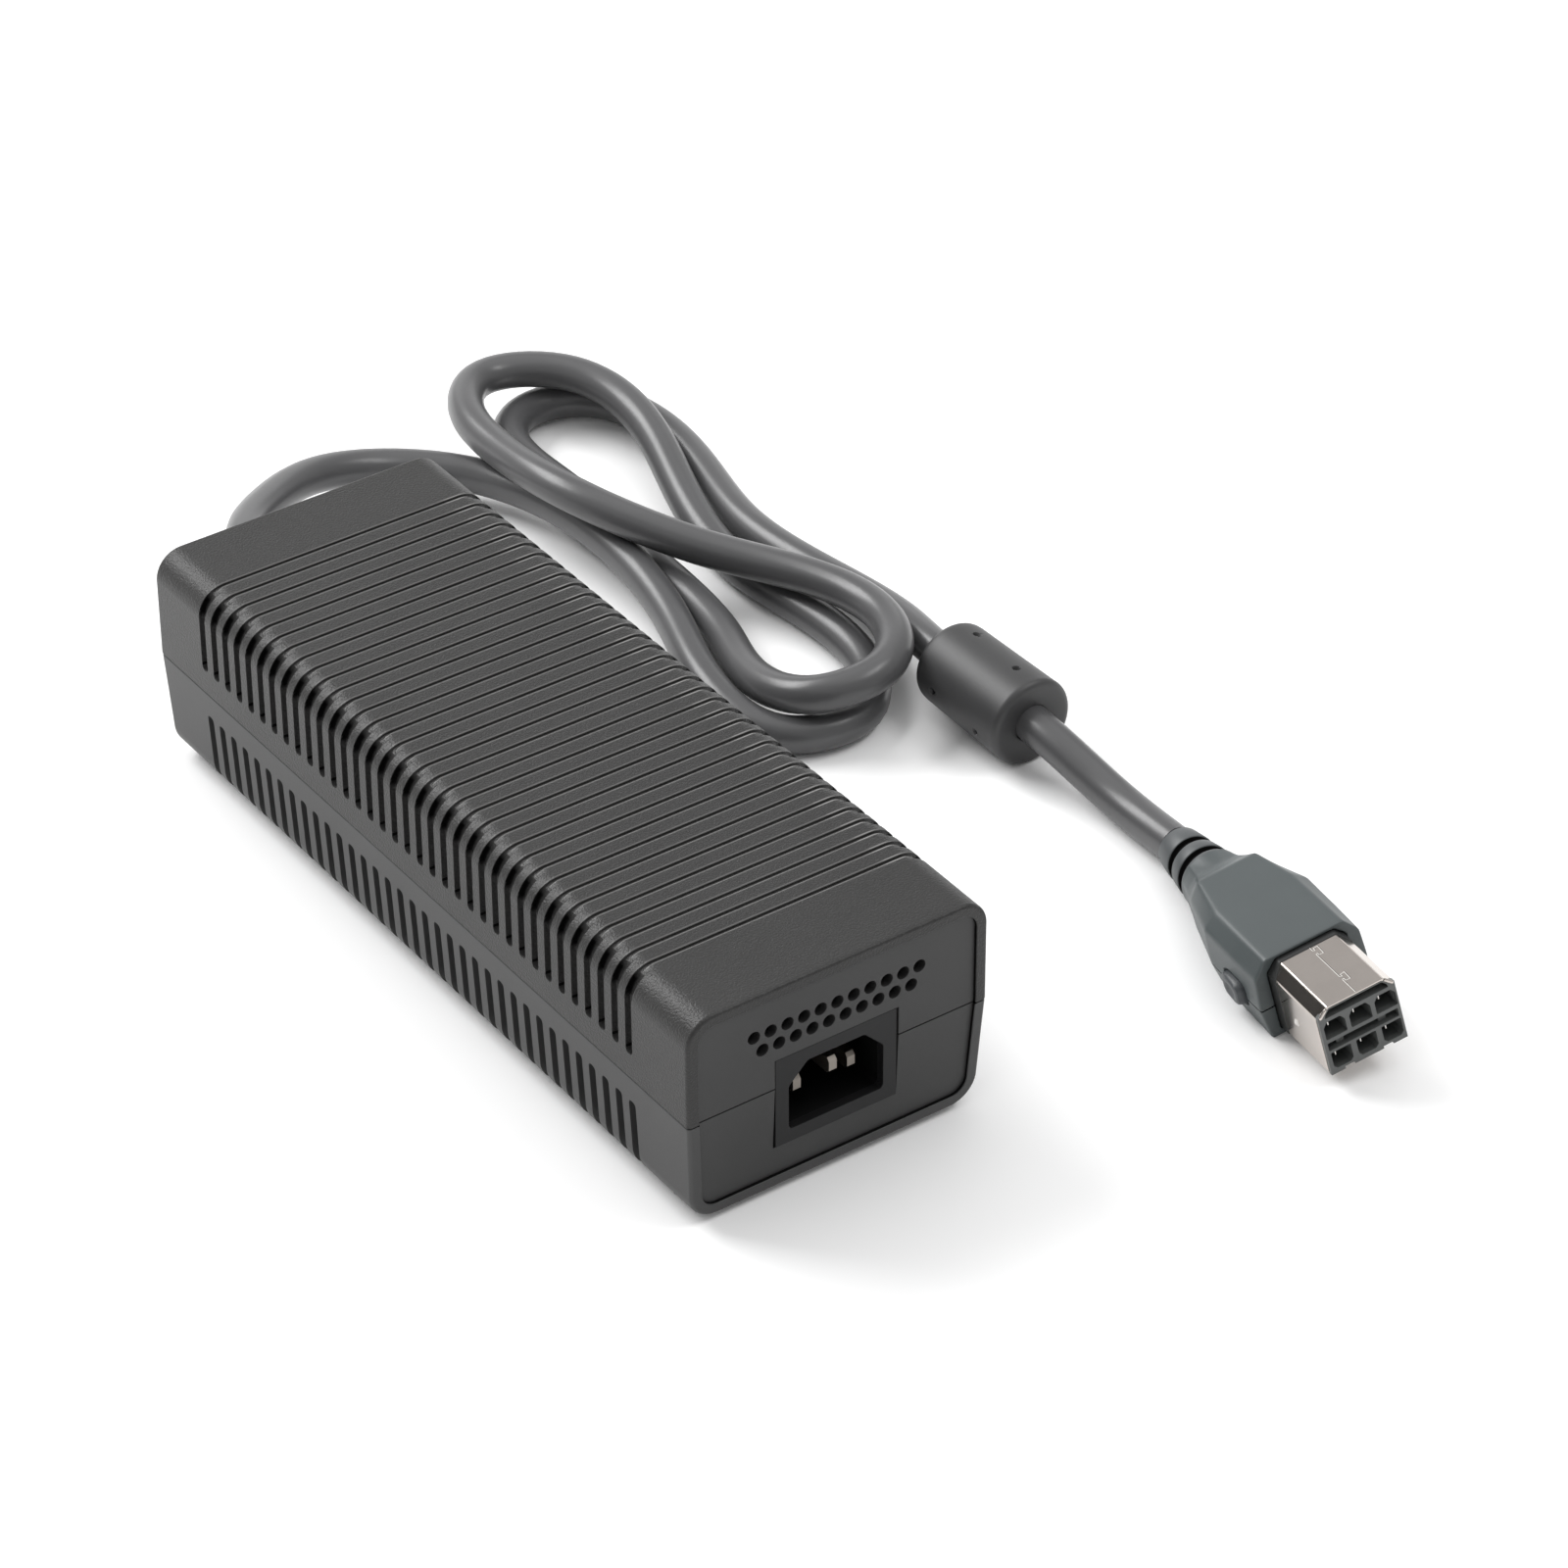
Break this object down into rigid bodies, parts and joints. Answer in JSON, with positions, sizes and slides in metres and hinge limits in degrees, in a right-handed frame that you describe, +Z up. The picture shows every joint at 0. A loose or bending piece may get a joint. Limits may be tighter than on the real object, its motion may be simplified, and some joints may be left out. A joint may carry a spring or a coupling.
{
  "type": "power brick with mains inlet and latching low-voltage plug",
  "caption": "Ribbed black power brick with a mains inlet and end vents, a thick output lead looped beside it, a ferrite sleeve and a sprung latch plug.",
  "frame": {"origin": "centre of the brick's footprint on the surface it stands on", "axes": "+Z up from the surface; +Y along the brick from the mains inlet towards the output lead; +X across the brick towards the side on which the lead lies"},
  "size_m": [0.1742, 0.34, 0.0556],
  "materials": {
    "case_plastic": "fine spark texture",
    "inlet_plastic": "smooth moulded",
    "pin_metal": "nickel-plated brass",
    "foot_rubber": "soft, dull",
    "screw_steel": "zinc plated",
    "board_epoxy": "glass-epoxy laminate",
    "capacitor_sleeve": "shrink sleeve on an aluminium can",
    "ferrite": "sintered ferrite, dull",
    "winding_tape": "polyester tape over copper wire",
    "film_capacitor": "moulded box",
    "fuse_ceramic": "ceramic tube",
    "heat_sink_aluminium": "extruded",
    "device_mould": "epoxy mould",
    "fan_plastic": "moulded",
    "lead_jacket": "satin PVC",
    "sleeve_plastic": "moulded over the core",
    "shield_nickel": "nickel-plated folded sheet",
    "block_plastic": "moulded",
    "contact_metal": "tin plated",
    "grip_plastic": "moulded"
  },
  "bodies": {
    "brick": {"upper_shell": "case_plastic", "lower_shell": "case_plastic", "inlet_housing": "inlet_plastic", "inlet_pin_line": "pin_metal", "inlet_pin_neutral": "pin_metal", "inlet_pin_earth": "pin_metal", "circuit_board": "board_epoxy", "bulk_capacitor_1": "capacitor_sleeve", "bulk_capacitor_2": "capacitor_sleeve", "transformer_core": "ferrite", "transformer_winding": "winding_tape", "mains_choke": "ferrite", "suppression_capacitor": "film_capacitor", "mains_fuse": "fuse_ceramic", "primary_heat_sink": "heat_sink_aluminium", "secondary_heat_sink": "heat_sink_aluminium", "switching_transistor": "device_mould", "output_rectifier": "device_mould", "output_capacitor_1": "capacitor_sleeve", "output_capacitor_2": "capacitor_sleeve", "output_capacitor_3": "capacitor_sleeve", "output_inductor": "ferrite", "fan_frame": "fan_plastic", "lead_gland": "lead_jacket", "lead": "lead_jacket", "suppressor_sleeve": "sleeve_plastic", "suppressor_core": "ferrite", "plug_shield": "shield_nickel", "contact_block": "block_plastic", "plug_grip_upper": "grip_plastic", "plug_grip_lower": "grip_plastic", "plug_boot": "lead_jacket", "foot_1": "foot_rubber", "case_screw_1": "screw_steel", "foot_2": "foot_rubber", "case_screw_2": "screw_steel", "foot_3": "foot_rubber", "case_screw_3": "screw_steel", "foot_4": "foot_rubber", "case_screw_4": "screw_steel", "contact_1": "contact_metal", "contact_2": "contact_metal", "contact_3": "contact_metal", "contact_4": "contact_metal", "contact_5": "contact_metal", "contact_6": "contact_metal"},
    "fan_rotor": {"fan_rotor": "fan_plastic"},
    "latch_button_left": {"latch_button_left": "grip_plastic"},
    "latch_button_right": {"latch_button_right": "grip_plastic"},
    "latch_arm_left": {"latch_arm_left": "shield_nickel"},
    "latch_arm_right": {"latch_arm_right": "shield_nickel"}
  },
  "joints": [
    {"name": "fan_spin", "type": "hinge", "parent": "brick", "child": "fan_rotor", "pos_m": [0, 0.084, 0.0284], "axis": [0, 1, 0], "continuous": true},
    {"name": "left_button_press", "type": "slide", "parent": "brick", "child": "latch_button_left", "axis": [0.962, -0.1565, 0.2238], "range_m": [0, 0.0006], "stiffness_N_per_m": 900},
    {"name": "right_button_press", "type": "slide", "parent": "brick", "child": "latch_button_right", "axis": [-0.962, 0.1565, -0.2238], "range_m": [0, 0.0006], "stiffness_N_per_m": 900},
    {"name": "left_latch_swing", "type": "hinge", "parent": "brick", "child": "latch_arm_left", "pos_m": [0.11165, -0.09358, 0.00458], "axis": [-0.2027, 0.1398, 0.9692], "range_deg": [0, 1.8]},
    {"name": "right_latch_swing", "type": "hinge", "parent": "brick", "child": "latch_arm_right", "pos_m": [0.12849, -0.09631, 0.0085], "axis": [0.2027, -0.1398, -0.9692], "range_deg": [0, 1.8]}
  ],
  "couplings": [
    {"joint": "left_latch_swing", "follows": "left_button_press", "rad_per_m": 46.5},
    {"joint": "right_latch_swing", "follows": "right_button_press", "rad_per_m": 46.5}
  ]
}
